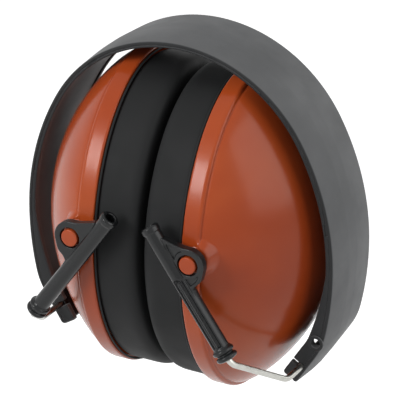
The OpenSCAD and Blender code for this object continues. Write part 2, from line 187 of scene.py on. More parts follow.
def polishedAcetal():
    # moulded acetal, the slippery plastic of sliding parts: deep black with a sharp shine and light handling marks
    material, tree, shader = newMaterial("blackPolishedAcetal")
    spot = addNode(tree, "ShaderNodeTexCoord").outputs["Object"]
    marks = addNode(tree, "ShaderNodeTexNoise",
                    {"Scale": perFeature(blackFinish["markSize"]), "Detail": 5.0, "Roughness": 0.55},
                    {"Vector": spot})
    tint = addNode(tree, "ShaderNodeMix",
                   {"data_type": "RGBA", 6: hexColour(blackFinish["colour"]), 7: hexColour(blackFinish["paler"])},
                   {0: marks.outputs["Fac"]})
    low, high = blackFinish["roughness"]
    rough = addNode(tree, "ShaderNodeMapRange", {"From Min": 0.3, "From Max": 0.7, "To Min": low, "To Max": high},
                    {"Value": marks.outputs["Fac"]})
    waves = addNode(tree, "ShaderNodeTexNoise", {"Scale": perFeature(blackFinish["waveSize"]), "Detail": 1.0},
                    {"Vector": spot})
    bump = addNode(tree, "ShaderNodeBump", {"Strength": 0.06, "Distance": blackFinish["waveDepth"] * mm},
                   {"Height": waves.outputs["Fac"]})
    setNode(tree, shader, {"IOR": 1.48, "Specular IOR Level": 0.34},
            {"Base Color": tint.outputs[2], "Roughness": rough.outputs["Result"], "Normal": bump.outputs["Normal"]})
    return material


wireFinish = {
    "colour": "#C9C9C4",
    "dull": "#A3A29C",
    "patchSize": 2.5,          # mm, width of the dull patches
    "pitSize": 0.35,           # mm, the drawn surface's pits
    "pitDepth": 0.03,          # mm
    "roughness": (0.24, 0.4),
}


def drawnSpringSteel():
    # zinc-washed spring wire: a satin metal with fine pits and dull patches
    material, tree, shader = newMaterial("drawnSpringSteel")
    spot = addNode(tree, "ShaderNodeTexCoord").outputs["Object"]
    patches = addNode(tree, "ShaderNodeTexNoise",
                      {"Scale": perFeature(wireFinish["patchSize"]), "Detail": 5.0, "Roughness": 0.6},
                      {"Vector": spot})
    tint = addNode(tree, "ShaderNodeMix",
                   {"data_type": "RGBA", 6: hexColour(wireFinish["dull"]), 7: hexColour(wireFinish["colour"])},
                   {0: patches.outputs["Fac"]})
    low, high = wireFinish["roughness"]
    rough = addNode(tree, "ShaderNodeMapRange", {"From Min": 0.3, "From Max": 0.7, "To Min": low, "To Max": high},
                    {"Value": patches.outputs["Fac"]})
    pits = addNode(tree, "ShaderNodeTexNoise", {"Scale": perFeature(wireFinish["pitSize"]), "Detail": 2.0},
                   {"Vector": spot})
    bump = addNode(tree, "ShaderNodeBump", {"Strength": 0.15, "Distance": wireFinish["pitDepth"] * mm},
                   {"Height": pits.outputs["Fac"]})
    setNode(tree, shader, {"Metallic": 1.0},
            {"Base Color": tint.outputs[2], "Roughness": rough.outputs["Result"], "Normal": bump.outputs["Normal"]})
    return material


skinFinish = {
    "colour": "#242525",
    "crease": "#1D1D1E",
    "pebble": 1.1,             # mm, width of a pebble of the grain
    "pebbleDepth": 0.05,       # mm
    "driftSize": 12,           # mm, slow change of tone over the film
    "roughness": (0.58, 0.72),
}


def cushionVinyl():
    # soft vinyl film over foam: nearly matte black with a fine pebbled grain
    material, tree, shader = newMaterial("blackCushionVinyl")
    spot = addNode(tree, "ShaderNodeTexCoord").outputs["Object"]
    pebbles = addNode(tree, "ShaderNodeTexVoronoi", {"Scale": perFeature(skinFinish["pebble"])}, {"Vector": spot})
    drift = addNode(tree, "ShaderNodeTexNoise", {"Scale": perFeature(skinFinish["driftSize"]), "Detail": 4.0},
                    {"Vector": spot})
    tint = addNode(tree, "ShaderNodeMix",
                   {"data_type": "RGBA", 6: hexColour(skinFinish["crease"]), 7: hexColour(skinFinish["colour"])},
                   {0: drift.outputs["Fac"]})
    low, high = skinFinish["roughness"]
    rough = addNode(tree, "ShaderNodeMapRange", {"From Min": 0.3, "From Max": 0.7, "To Min": low, "To Max": high},
                    {"Value": drift.outputs["Fac"]})
    bump = addNode(tree, "ShaderNodeBump",
                   {"Strength": 0.22, "Distance": skinFinish["pebbleDepth"] * mm, "invert": True},
                   {"Height": pebbles.outputs["Distance"]})
    setNode(tree, shader, {"IOR": 1.45, "Specular IOR Level": 0.2},
            {"Base Color": tint.outputs[2], "Roughness": rough.outputs["Result"], "Normal": bump.outputs["Normal"]})
    return material


foamFinish = {
    "colour": "#4A4B4E",
    # painted shade: the colour of the shade inside each open cell
    "poreShade": "#1E1F21",
    "cell": 1.2,               # mm, an open cell, drawn coarser than the real 0.6
    "cellDepth": 0.4,          # mm
}


def openCellFoam():
    # reticulated foam: a dark grey sponge of open cells without any shine
    material, tree, shader = newMaterial("greyOpenCellFoam")
    spot = addNode(tree, "ShaderNodeTexCoord").outputs["Object"]
    cells = addNode(tree, "ShaderNodeTexVoronoi", {"Scale": perFeature(foamFinish["cell"])}, {"Vector": spot})
    # painted shade: each open cell darkens towards its hollow middle, standing for the shade inside the pore
    tint = addNode(tree, "ShaderNodeMix",
                   {"data_type": "RGBA", 6: hexColour(foamFinish["poreShade"]), 7: hexColour(foamFinish["colour"])},
                   {0: cells.outputs["Distance"]})
    rough = addNode(tree, "ShaderNodeMapRange", {"From Min": 0.0, "From Max": 0.8, "To Min": 0.98, "To Max": 0.86},
                    {"Value": cells.outputs["Distance"]})
    bump = addNode(tree, "ShaderNodeBump", {"Strength": 0.8, "Distance": foamFinish["cellDepth"] * mm},
                   {"Height": cells.outputs["Distance"]})
    setNode(tree, shader, {"Specular IOR Level": 0.2},
            {"Base Color": tint.outputs[2], "Roughness": rough.outputs["Result"], "Normal": bump.outputs["Normal"]})
    return material


orangeAbs = mouldedAbs()
bandNylon = texturedNylon()
blackAcetal = polishedAcetal()
springSteel = drawnSpringSteel()
vinylSkin = cushionVinyl()
foamCells = openCellFoam()
print("earmuff: materials made")


# small helpers for meshes; lengths in millimetres until meshPiece

def gridFaces(rows, columns, closeRows=False, closeColumns=False):
    # faces of a grid of points; a closed direction joins its last line to its first
    faces = []
    for i in range(rows if closeRows else rows - 1):
        for j in range(columns if closeColumns else columns - 1):
            k, l = (i + 1) % rows, (j + 1) % columns
            faces.append((i * columns + j, i * columns + l, k * columns + l, k * columns + j))
    return faces


def softCorners(outline, steps=4, closed=False):
    # outline: (a, b, radius); every corner with a radius becomes a small curve
    made, count = [], len(outline)
    for i, (a, b, radius) in enumerate(outline):
        p = Vector((a, b))
        if radius <= 0 or (not closed and i in (0, count - 1)):
            made.append(p)
            continue
        before = Vector(outline[i - 1][:2]) - p
        after = Vector(outline[(i + 1) % count][:2]) - p
        first = p + before.normalized() * min(radius, 0.48 * before.length)
        last = p + after.normalized() * min(radius, 0.48 * after.length)
        for k in range(steps + 1):
            t = k / steps
            made.append(first * (1 - t) ** 2 + p * 2 * t * (1 - t) + last * t ** 2)
    return made


def cappedTube(rings):
    # points and faces of a tube through closed rings, with one face across each end
    columns = len(rings[0])
    points = [p for ring in rings for p in ring]
    faces = gridFaces(len(rings), columns, closeColumns=True)
    faces += [tuple(range(columns)), tuple(range(len(points) - columns, len(points)))]
    return points, faces


def lathe(outline, segments, middle, axisOut, closed=False):
    # rings round an axis along Y at middle = (x, z); outline is (radius, distance from y = 0 towards axisOut)
    points = []
    for i in range(segments):
        a = 2 * math.pi * i / segments
        points += [(middle[0] + r * math.cos(a), axisOut * d, middle[1] + r * math.sin(a)) for r, d in outline]
    return points, gridFaces(segments, len(outline), True, closed)


def onSide(points, side):
    # pieces are drawn for the right side; the left ones are the same turned half round
    return [(-x, -y, z) for x, y, z in points] if side == "left" else points


def addObject(name, data):
    made = bpy.data.objects.new(name, data)
    bpy.context.scene.collection.objects.link(made)
    return made


def mendMesh(mesh, weld=0):
    # joins points that lie closer than weld, in mm, and turns every face outward
    builder = bmesh.new()
    builder.from_mesh(mesh)
    if weld:
        bmesh.ops.remove_doubles(builder, verts=builder.verts, dist=weld * mm)
    bmesh.ops.recalc_face_normals(builder, faces=builder.faces)
    builder.to_mesh(mesh)
    builder.free()


def meshPiece(name, points, faces, material, sharpAngle=None):
    mesh = bpy.data.meshes.new(name)
    mesh.from_pydata([(x * mm, y * mm, z * mm) for x, y, z in points], [], faces)
    mendMesh(mesh)
    mesh.materials.append(material)
    piece = addObject(name, mesh)
    smoothPiece(piece, sharpAngle)
    return piece


def smoothPiece(piece, sharpAngle=None):
    piece.data.shade_smooth()
    if sharpAngle:
        piece.data.set_sharp_from_angle(angle=math.radians(sharpAngle))


def applyModifiers(piece):
    # replaces the mesh with what its modifiers make of it
    graph = bpy.context.evaluated_depsgraph_get()
    made = bpy.data.meshes.new_from_object(piece.evaluated_get(graph))
    piece.modifiers.clear()
    piece.data = made


def joinInto(piece, others):
    # adds the other meshes to the piece's own and drops their objects
    builder = bmesh.new()
    builder.from_mesh(piece.data)
    for other in others:
        builder.from_mesh(other.data)
    builder.to_mesh(piece.data)
    builder.free()
    for other in others:
        bpy.data.objects.remove(other)


def easeBetween(value, low, high):
    # 0 at low, 1 at high, with a soft start and end
    t = min(1.0, max(0.0, (value - low) / (high - low)))
    return t * t * (3 - 2 * t)


def place(piece, body, nodes):
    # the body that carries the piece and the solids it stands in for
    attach(piece, body)
    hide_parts(*nodes)
    return piece


# layout shared by the pieces, all in mm

layout = {
    "cupHeight": 113.0, "cupWidth": 84.0, "cupDepth": 34.2,
    "rimX": 16.3,              # rim face of the right cup from the middle
    "footCut": 0.7,            # flat that the cup stands on
    "rimStep": 1.4,            # how far the rim stands out past the dome
    "domeStart": 6.7, "domeFullness": 1.2,
    "hingeX": 46.6095, "hingeZ": 16.2168,
    "armAngle": 54.371,        # slope of the fork's arms from level
    "studX": 21.65, "studZ": 61.6,
    "sliderY": 46.0, "padY": 42.6,   # middle of the sliders and top of the pads, from the middle plane
}
cupRadius = layout["cupHeight"] / 2
squeeze = layout["cupWidth"] / layout["cupHeight"]
cupMiddle = cupRadius - layout["footCut"]
domeRadius = cupRadius - layout["rimStep"]


def armPlace(y):
    # frame of an arm: x up the wire from the hinge, z to the rear
    return (Matrix.Translation((layout["hingeX"] * mm, y * mm, layout["hingeZ"] * mm))
            @ Matrix.Rotation(math.radians(180 + layout["armAngle"]), 4, "Y"))


halfTurn = Matrix.Rotation(math.pi, 4, "Z")


# headband: a moulded channel swept over five arcs

band = {
    "width": 28.7, "apexZ": highCorner.z / mm, "halfSpan": highCorner.x / mm,
    "crownAngle": 60, "shoulderRadius": 88.95, "sideRadius": 110, "sideAngle": 12,
    "bendRadius": 25, "bendAngle": 20, "tipLength": 13.5,
    "railDepths": (2.7, 3.05, 3.4, 6.045, 6.5),
    "railWidth": 2.2, "skin": 1.65, "facetHalf": 3.0, "facetDrop": 0.7, "facetSoft": 0.5,
    "endRound": 1.4,
    "lineAt": (1.1, 1.3, 1.5), "lineDepth": 0.35,  # moulded line along each rail, down from the facet
    "wireHole": 1.13, "throat": (7.0, 1.92),  # radius; length and width of the slot that leads to the hole
    "eyeletHole": 1.7, "eyeletAngle": -19.4, "eyeletInset": 3.0,
    "eyeletRing": (2.8, 0.5),  # outer radius and rise
    "clips": ((0, 51.6), (1, 10.8)),  # arc and angle of each pair of the liner's clips
    "window": (1.0, 4.2), "windowInset": 2.15,
    "step": 1.6,  # between rings
}


def onArc(centre, radius, angle):
    return centre + radius * Vector((math.cos(angle), math.sin(angle)))


def bandStations():
    # from the crown down the right side: point on the skin, outward direction, rail depth, distance to the end
    crownAngle, sideAngle, bendAngle = (math.radians(band[k]) for k in ("crownAngle", "sideAngle", "bendAngle"))
    shoulderR, sideR, bendR = band["shoulderRadius"], band["sideRadius"], band["bendRadius"]
    crownR = (band["halfSpan"] - shoulderR * (1 - math.sin(crownAngle))) / math.sin(crownAngle)
    crown = Vector((0, band["apexZ"] - crownR))
    lean = math.pi / 2 - crownAngle
    shoulder = onArc(crown, crownR - shoulderR, lean)
    side = shoulder + (shoulderR - sideR) * Vector((1, 0))
    bend = onArc(side, sideR - bendR, -sideAngle)
    arcs = [(crown, crownR, math.pi / 2, -crownAngle), (shoulder, shoulderR, lean, -lean),
            (side, sideR, 0, -sideAngle), (bend, bendR, -sideAngle, -bendAngle)]
    stations, farFromEnd = [], 99
    for k, (centre, radius, start, sweep) in enumerate(arcs):
        steps = max(4, round(abs(sweep) * radius / band["step"]))
        for i in range(0 if k == 0 else 1, steps + 1):
            t = i / steps
            out = Vector((math.cos(start + sweep * t), math.sin(start + sweep * t)))
            deep = band["railDepths"][k] * (1 - t) + band["railDepths"][k + 1] * t
            stations.append([centre + radius * out, out, deep, farFromEnd])
    tip = sideAngle + bendAngle
    out = Vector((math.cos(tip), -math.sin(tip)))
    down = Vector((-math.sin(tip), -math.cos(tip)))
    start, length = stations[-1][0], band["tipLength"]
    # rings of the straight tip, closer together where its end is rounded
    rounded = [length - part * band["endRound"] for part in (1, 0.7, 0.4, 0.18, 0.05, 0)]
    for s in [2, 4, 6, 8, 10, 11] + rounded:
        stations.append([start + s * down, out, band["railDepths"][4], length - s])
    return stations, arcs


def bandSection(deep, toEnd):
    # closed outline across the channel as (across, inward); near the end of the band it is drawn in all round
    half, rail, skin, drop = band["width"] / 2, band["railWidth"], band["skin"], band["facetDrop"]
    lineTop, lineMiddle, lineFoot = band["lineAt"]
    edge = [(0, band["facetHalf"], band["facetSoft"]), (drop, half, 0.7), (drop + lineTop, half, 0.12),
            (drop + lineMiddle, half - band["lineDepth"], 0.1), (drop + lineFoot, half, 0.2),
            (deep, half, 0.6), (deep, half - rail, 0.5), (skin, half - rail, 0.4)]
    outline = edge + [(d, -y, r) for d, y, r in reversed(edge)]
    rounding = band["endRound"]
    pull = rounding - math.sqrt(max(0, rounding ** 2 - (rounding - toEnd) ** 2)) if toEnd < rounding else 0
    return [((1 - pull / half) * q.y, q.x + pull * (1 - 2 * q.x / deep)) for q in softCorners(outline, 4, True)]


def bandPoint(station, across, inward):
    spot, out = station[0], station[1]
    return (spot.x - inward * out.x, across, spot.y - inward * out.y)


def alongBand(name, halfRings):
    # solid through the rings of the right half and their mirror images
    left = [[(-x, y, z) for x, y, z in ring] for ring in halfRings[:0:-1]]
    return meshPiece(name, *cappedTube(left + halfRings), bandNylon, 40)


bandRight, bandArcs = bandStations()
eyelet = onArc(bandArcs[3][0], bandArcs[3][1] - band["eyeletInset"], math.radians(band["eyeletAngle"]))


def bandCuts():
    # wire holes, their throats, eyelet holes and the liner's clip windows, all cut through the rails
    cutter = bmesh.new()
    through, eyeletDepth = 60, 6
    acrossBand = Matrix.Rotation(math.pi / 2, 4, "X")
    tipTurn = Matrix.Rotation(math.radians(band["sideAngle"] + band["bendAngle"]), 4, "Y")

    def hole(x, y, z, radius, depth):
        bmesh.ops.create_cone(cutter, cap_ends=True, segments=32, radius1=radius * mm, radius2=radius * mm,
                              depth=depth * mm, matrix=Matrix.Translation((x * mm, y * mm, z * mm)) @ acrossBand)

    def slot(x, z, turn, shift, long, wide):
        bmesh.ops.create_cube(cutter, size=1.0, matrix=Matrix.Translation((x * mm, 0, z * mm)) @ turn
                              @ Matrix.Translation((shift * mm, 0, 0))
                              @ Matrix.Diagonal((long * mm, through * mm, wide * mm, 1)))

    throatLong, throatWide = band["throat"]
    for mirror in (1, -1):
        hingeX = mirror * layout["hingeX"]
        hole(hingeX, 0, layout["hingeZ"], band["wireHole"], through)
        slot(hingeX, layout["hingeZ"], tipTurn if mirror == 1 else tipTurn.inverted(), -mirror * throatLong / 2,
             throatLong, throatWide)
        # the right end's eyelet is in front, the left end's at the rear
        hole(mirror * eyelet.x, -mirror * (band["width"] / 2 + 0.7), eyelet.y, band["eyeletHole"], eyeletDepth)
        for k, angle in band["clips"]:
            a = math.radians(angle)
            spot = onArc(bandArcs[k][0], bandArcs[k][1] - band["windowInset"], a)
            slot(mirror * spot.x, spot.y, Matrix.Rotation(-a * mirror, 4, "Y"), 0, *band["window"])
    mesh = bpy.data.meshes.new("bandCuts")
    cutter.to_mesh(mesh)
    cutter.free()
    return addObject("bandCuts", mesh)


def makeHeadband():
    piece = alongBand("bandChannel", [[bandPoint(s, a, d) for a, d in bandSection(s[2], s[3])] for s in bandRight])
    cuts = bandCuts()
    boolean = piece.modifiers.new("cuts", "BOOLEAN")
    boolean.operation, boolean.solver, boolean.object, boolean.use_self = "DIFFERENCE", "EXACT", cuts, True
    applyModifiers(piece)
    bpy.data.objects.remove(cuts)

    # raised ring round each eyelet, its foot sunk 1 mm into the rail
    hole, (outer, rise) = band["eyeletHole"], band["eyeletRing"]
    corners = softCorners([(hole, -1.0, 0), (hole, rise, 0.25), (outer, rise, 0.3), (outer, -1.0, 0)], 4, True)
    outline = [(q.x, band["width"] / 2 + q.y) for q in corners]
    rings = [lathe(outline, 40, (mirror * eyelet.x, eyelet.y), -mirror, True) for mirror in (1, -1)]
    joinInto(piece, [meshPiece("eyeletRing", points, faces, bandNylon) for points, faces in rings])
    smoothPiece(piece, 40)
    return place(piece, "band", ["headband"])


makeHeadband()
print("earmuff: headband made")


liner = {
    "gap": 0.1,                # between its edges and the rails
    "top": 1.75, "thick": 0.8,
    "stopsShort": 13.4,        # of the ends of the band
    "tabHalf": 2.0, "tabShort": 0.3,
}


def makeLiner():
    # thin strip along the channel's roof, with the clip tabs that reach through the rails
    half = band["width"] / 2 - band["railWidth"] - liner["gap"]
    top, foot = liner["top"], liner["top"] + liner["thick"]
    outline = [(top, half, 0.2), (foot, half, 0.3), (foot, -half, 0.3), (top, -half, 0.2)]
    section = [(q.y, q.x) for q in softCorners(outline, 3, True)]
    piece = alongBand("bandLiner", [[bandPoint(s, a, d) for a, d in section]
                                    for s in bandRight if s[3] > liner["stopsShort"]])
    boxFaces = [(0, 1, 3, 2), (4, 6, 7, 5), (0, 4, 5, 1), (2, 3, 7, 6), (0, 2, 6, 4), (1, 5, 7, 3)]
    inner, outer = half - 1, band["width"] / 2 - liner["tabShort"]
    tabs = []
    for mirror in (1, -1):
        for k, angle in band["clips"]:
            centre, radius = bandArcs[k][:2]
            for s in (-1, 1):
                corners = []
                for along in (-liner["tabHalf"], liner["tabHalf"]):
                    for d in (top + 0.02, foot - 0.02):
                        q = onArc(centre, radius - d, math.radians(angle) + along / radius)
                        corners += [(mirror * q.x, s * inner, q.y), (mirror * q.x, s * outer, q.y)]
                tabs.append(meshPiece("clipTab", corners, boxFaces, bandNylon, 30))
    joinInto(piece, tabs)
    smoothPiece(piece, 40)
    return place(piece, "band", ["headband_liner"])


makeLiner()


# parts refined from a copy of their exact solid: moulded edges all round

def mouldedCopy(name, node, voxel, smoothing):
    # the copy is remeshed finely and relaxed, so every sharp edge gets a moulded radius
    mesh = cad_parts[node].data.copy()
    mendMesh(mesh, 0.002)
    mesh.materials.clear()
    mesh.materials.append(blackAcetal)
    piece = addObject(name, mesh)
    remesh = piece.modifiers.new("remesh", "REMESH")
    remesh.mode, remesh.voxel_size, remesh.use_smooth_shade = "VOXEL", voxel * mm, True
    relax = piece.modifiers.new("relax", "SMOOTH")
    relax.factor, relax.iterations = 0.5, smoothing
    applyModifiers(piece)
    smoothPiece(piece)
    return piece


mouldings = {
    "sliderVoxel": 0.2, "sliderSmoothing": 7, "retainerVoxel": 0.22, "retainerSmoothing": 2,
    "tubeRadius": 2.8, "tubeFoot": 18.13, "tubeEnd": 68.13,
    "collar": (2.6, 0.3),  # length of the rolled collar at a tube's top end and its rise
    "beads": (4.6, 1.09),  # how far up the two foot beads reach, and how much fuller they are drawn
    "lug": (-14, 13, 1.7, 2.3),  # from the pivot to its ends, half thickness, and its top below the wire
    "pivot": (51.43, -6.15),  # middle of the lug's eye, along and across the arm
    "eyeEdge": (3.2, 5.0), "lugEdge": (6.0, 8.5),  # from the pivot: ends of the eye and of the lug's round
    "eyeGrowth": 0.2, "rimGrowth": 0.07,  # how much wider the eye and the round of the lug are drawn
    "webReach": (-0.2, 0.28),  # stretch of the lug's web towards the foot and the open end
    "webDepth": (3.0, 8.0), "webStart": (3.0, 6.0),  # where the stretch fades out downward and starts lengthwise
    "grooves": ((-15, 7, 0.7), (27, 14, 1.05)),  # place round the tube, half width (both in degrees), depth
    "grooveStart": (4.9, 5.6), "grooveEnd": (29, 31),  # from the tube's foot
    "grooveSide": 62,  # degrees to each side that the grooves may reach
}


def drawnLug(p):
    # a point of the lug: the eye and its round a little wider, the web longer towards the tube's open end
    alongPivot, acrossPivot = mouldings["pivot"]
    x, z = p.x - alongPivot, p.z - acrossPivot
    away = math.hypot(x, z)
    pastEye = easeBetween(away, *mouldings["eyeEdge"])
    grow = mouldings["eyeGrowth"] * (1 - pastEye) + mouldings["rimGrowth"] * pastEye
    grow *= 1 - easeBetween(away, *mouldings["lugEdge"])
    stretch = mouldings["webReach"][1 if x > 0 else 0] * (1 - easeBetween(-p.z, *mouldings["webDepth"]))
    stretch *= easeBetween(abs(x), *mouldings["webStart"])
    return Vector((alongPivot + x * (1 + grow + stretch), p.y, acrossPivot + z * (1 + grow)))


def tubeScale(p, radius):
    # how much wider or narrower the tube is drawn at this point: collar, foot beads or grooves
    full, foot = mouldings["tubeRadius"], mouldings["tubeFoot"]
    collarLength, rise = mouldings["collar"]
    collarStart = mouldings["tubeEnd"] - collarLength
    if 2.0 < radius < full + 1.2 and p.x > collarStart:
        return 1 + rise * easeBetween(p.x, collarStart, collarStart + 0.7) / full
    beadReach, beadGrowth = mouldings["beads"]
    if p.x < foot + beadReach and radius > full - 0.3:
        return beadGrowth
    along = easeBetween(p.x - foot, *mouldings["grooveStart"])
    along *= 1 - easeBetween(p.x - foot, *mouldings["grooveEnd"])
    turn = math.degrees(math.atan2(-p.z, -p.y))
    if along == 0 or not 1.5 < radius < full + 0.4 or p.y > -0.2 or abs(turn) > mouldings["grooveSide"]:
        return 1
    wanted = full
    for middle, half, depth in mouldings["grooves"]:
        wanted = min(wanted, full - depth * (1 - easeBetween(abs(turn - middle), half - 4, half + 3)))
    return 1 + (wanted / radius - 1) * along


def shapeSlider(piece, toArm):
    # works in the frame of the slider's arm, x up the tube
    start, end, halfThick, top = mouldings["lug"]
    for vertex in piece.data.vertices:
        p = toArm @ vertex.co / mm
        radius = math.hypot(p.y, p.z)
        onLug = abs(p.y) < halfThick and p.z < -top and radius > mouldings["tubeRadius"] + 0.1
        if onLug and start < p.x - mouldings["pivot"][0] < end:
            p = drawnLug(p)
        else:
            scale = tubeScale(p, radius)
            if scale == 1:
                continue
            p.y, p.z = p.y * scale, p.z * scale
        vertex.co = toArm.inverted() @ (p * mm)


for side in ("left", "right"):
    for end, y in (("front", -1), ("rear", 1)):
        node = "slider_%s_%s" % (end, side)
        piece = mouldedCopy("slider-%s-%s" % (end, side), node, mouldings["sliderVoxel"],
                            mouldings["sliderSmoothing"])
        arm = halfTurn @ armPlace(-y * layout["sliderY"]) if side == "left" else armPlace(y * layout["sliderY"])
        shapeSlider(piece, arm.inverted())
        place(piece, "%s_slide_%s" % (end, side), [node])
for side in ("left", "right"):
    node = "hinge_retainer_" + side
    piece = mouldedCopy("hinge-block-" + side, node, mouldings["retainerVoxel"], mouldings["retainerSmoothing"])
    place(piece, "band", [node])
print("earmuff: sliders and hinge blocks made")


# wire forks: one spring wire each, bent at four corners

wire = {
    "radius": 1.05, "sides": 20,
    "bends": (6.2, 4.2),  # inside the crossbar's corner and the arm's
    "cornerY": 24.5, "armY": 46.0, "splay": 16.5275, "end": 57.4275,  # corners across the band and up the arm
    "cutEnd": (0.7, 0.35),  # share of the radius left at a cut end, its length
}


def bentLine(corners, radii, steps=10):
    # polyline with each inner corner turned into an arc of the wire's bend
    line = [Vector(corners[0])]
    for before, corner, after, radius in zip(corners, corners[1:], corners[2:], radii):
        p = Vector(corner)
        u, v = (Vector(before) - p).normalized(), (Vector(after) - p).normalized()
        half = u.angle(v) / 2
        trim = radius / math.tan(half)
        centre = p + (u + v).normalized() * radius / math.sin(half)
        a, b = p + u * trim - centre, p + v * trim - centre
        turn = a.angle(b)
        for i in range(steps + 1):
            t = i / steps
            line.append(centre + (a * math.sin((1 - t) * turn) + b * math.sin(t * turn)) / math.sin(turn))
    line.append(Vector(corners[-1]))
    return line


def makeFork(side):
    half = [(0, 0, 0), (0, wire["cornerY"], 0), (wire["splay"], wire["armY"], 0), (wire["end"], wire["armY"], 0)]
    line = bentLine(half, wire["bends"])
    line = [Vector((p.x, -p.y, 0)) for p in line[:0:-1]] + line
    up, last = Vector((0, 0, 1)), len(line) - 1
    turns = [2 * math.pi * k / wire["sides"] for k in range(wire["sides"])]
    endShare, endLength = wire["cutEnd"]
    rings = []
    for i, p in enumerate(line):
        along = (line[min(i + 1, last)] - line[max(i - 1, 0)]).normalized()
        across = up.cross(along)
        offsets = [wire["radius"] * (across * math.cos(a) + up * math.sin(a)) for a in turns]
        if 0 < i < last:
            rings.append([p + q for q in offsets])
            continue
        # the cut ends are eased: a full ring stands just behind a narrower one
        inward = along * (endLength if i == 0 else -endLength)
        ends = [[p + endShare * q for q in offsets], [p + q + inward for q in offsets]]
        rings += ends if i == 0 else ends[::-1]
    points, faces = cappedTube(rings)
    matrix = halfTurn @ armPlace(0) if side == "left" else armPlace(0)
    piece = meshPiece("wire-fork-" + side, [matrix @ (p * mm) / mm for p in points], faces, springSteel, 50)
    return place(piece, "fork_" + side, ["wire_fork_" + side])


makeFork("right")
makeFork("left")
print("earmuff: wire forks made")


# cup shells: a squeezed dome with a rim band, a step and two blended pivot pads

cup = {
    "rimDepth": 6.0, "wall": 2.2,
    "domeFoot": 7.0,                       # depth at which the dome meets the step of the rim
    "mouthDepth": 2.6,                     # of the seat for the plate, inside the rim
    "padTop": 4.5, "padFoot": 6.8,         # radius of a pivot pad's flat top and of the foot of its fillet
    "padFade": (-0.6, 2.0),                # from the stud towards the crown: where a pad starts and is full
    "padSides": 24,                        # the pads stand only this far from the middle and beyond
    "studRadius": 3.0, "hubRadius": 3.66, "hubFlare": 0.9,
    "eyeHalf": 1.45, "eyeGap": 0.3,        # half thickness of a slider's eye, and its gap to the hub
    "studPast": 0.4,                       # how far the stud stands out of the eye
    "fineStep": 0.45, "wideStep": 1.5,     # mm between grid lines, near the pads and elsewhere
    "fineBelow": 21, "domeArc": 62,        # depth of the finer rows, length of the arc that the rows divide
    "fineTurn": 13.5,                      # degrees to each side of a pad with finer columns
}


def domeAt(h, inset=0.0):
    # radius of the dome, or of a skin that lies inset within it, at the depth h from the rim face
    start = layout["domeStart"]
    t = min(1.0, max(0.0, h - start) / (layout["cupDepth"] - inset - start))
    return (domeRadius - inset) * math.sqrt(1 - t ** layout["domeFullness"])


def cupOutline():
    # (radius, depth) from the crown over the rim to the inside; the outer rows lie closer together beside the pads
    depth, rim, foot = layout["cupDepth"], cup["rimDepth"], cup["domeFoot"]
    outer, t = [], 0.0
    while t < 1.0:
        h = foot + (depth - foot) * math.cos(t * math.pi / 2)
        outer.append((domeAt(h), h))
        t += (cup["fineStep"] if h < cup["fineBelow"] else cup["wideStep"]) / cup["domeArc"]
    outer.append((domeAt(foot), foot))
    mouth, seat = domeRadius - cup["wall"] + 0.8, cup["mouthDepth"]
    step = softCorners([(domeAt(foot), foot, 0), (domeRadius - 0.1, 6.35, 0.3), (cupRadius - 0.6, rim + 0.2, 0.35),
                        (cupRadius, rim - 0.5, 0.6), (cupRadius, 4.4, 0), (cupRadius, 3.2, 0), (cupRadius, 2.0, 0),
                        (cupRadius, 0.0, 0.8), (cupRadius - 1.2, 0.0, 0), (mouth, 0.0, 0.3), (mouth, seat, 0)], 4)
    inner, rows = [], 18
    for i in range(rows):
        a = math.pi / 2 * (1 - i / (rows - 1))
        h = seat + (depth - 2.8 - seat) * math.cos(a)
        inner.append((domeAt(h, cup["wall"] + 0.6), h))
    return outer, [(q.x, q.y) for q in step[1:]], inner


def cupAngles():
    # degrees round the cup from its foot; closer together across the pads at both sides
    angles, a = [], 0.0
    padMiddle = 90 + math.degrees(math.asin((layout["studZ"] - cupMiddle) / domeRadius))
    while a < 180:
        angles.append(a)
        near = abs(a - padMiddle) < cup["fineTurn"]
        step, radius = (cup["fineStep"], 0.9 * cupRadius) if near else (cup["wideStep"], 0.85 * cupRadius)
        a += step / radius * 57.3   # a radian is 57.3 degrees
    opposite = [] if angles[-1] > 179.2 else [180]
    return angles + opposite + [360 - a for a in reversed(angles) if a > 0]


def withPads(x, y, z):
    # raises a low pad under each pivot stud on the dome, flat on top, with a fillet round it
    fromStud = math.hypot(x - layout["studX"], z - layout["studZ"])
    raised = 1 - easeBetween(fromStud, cup["padTop"], cup["padFoot"])
    raised *= easeBetween(x - layout["studX"], *cup["padFade"])
    if abs(y) > cup["padSides"]:
        y = math.copysign(abs(y) + max(0.0, layout["padY"] - abs(y)) * raised, y)
    return x, y, z


def roundCup(depth, radius, angle):
    # point of the right cup's squeezed round, angle in radians from its foot
    return (layout["rimX"] + depth, squeeze * radius * math.sin(angle), cupMiddle - radius * math.cos(angle))


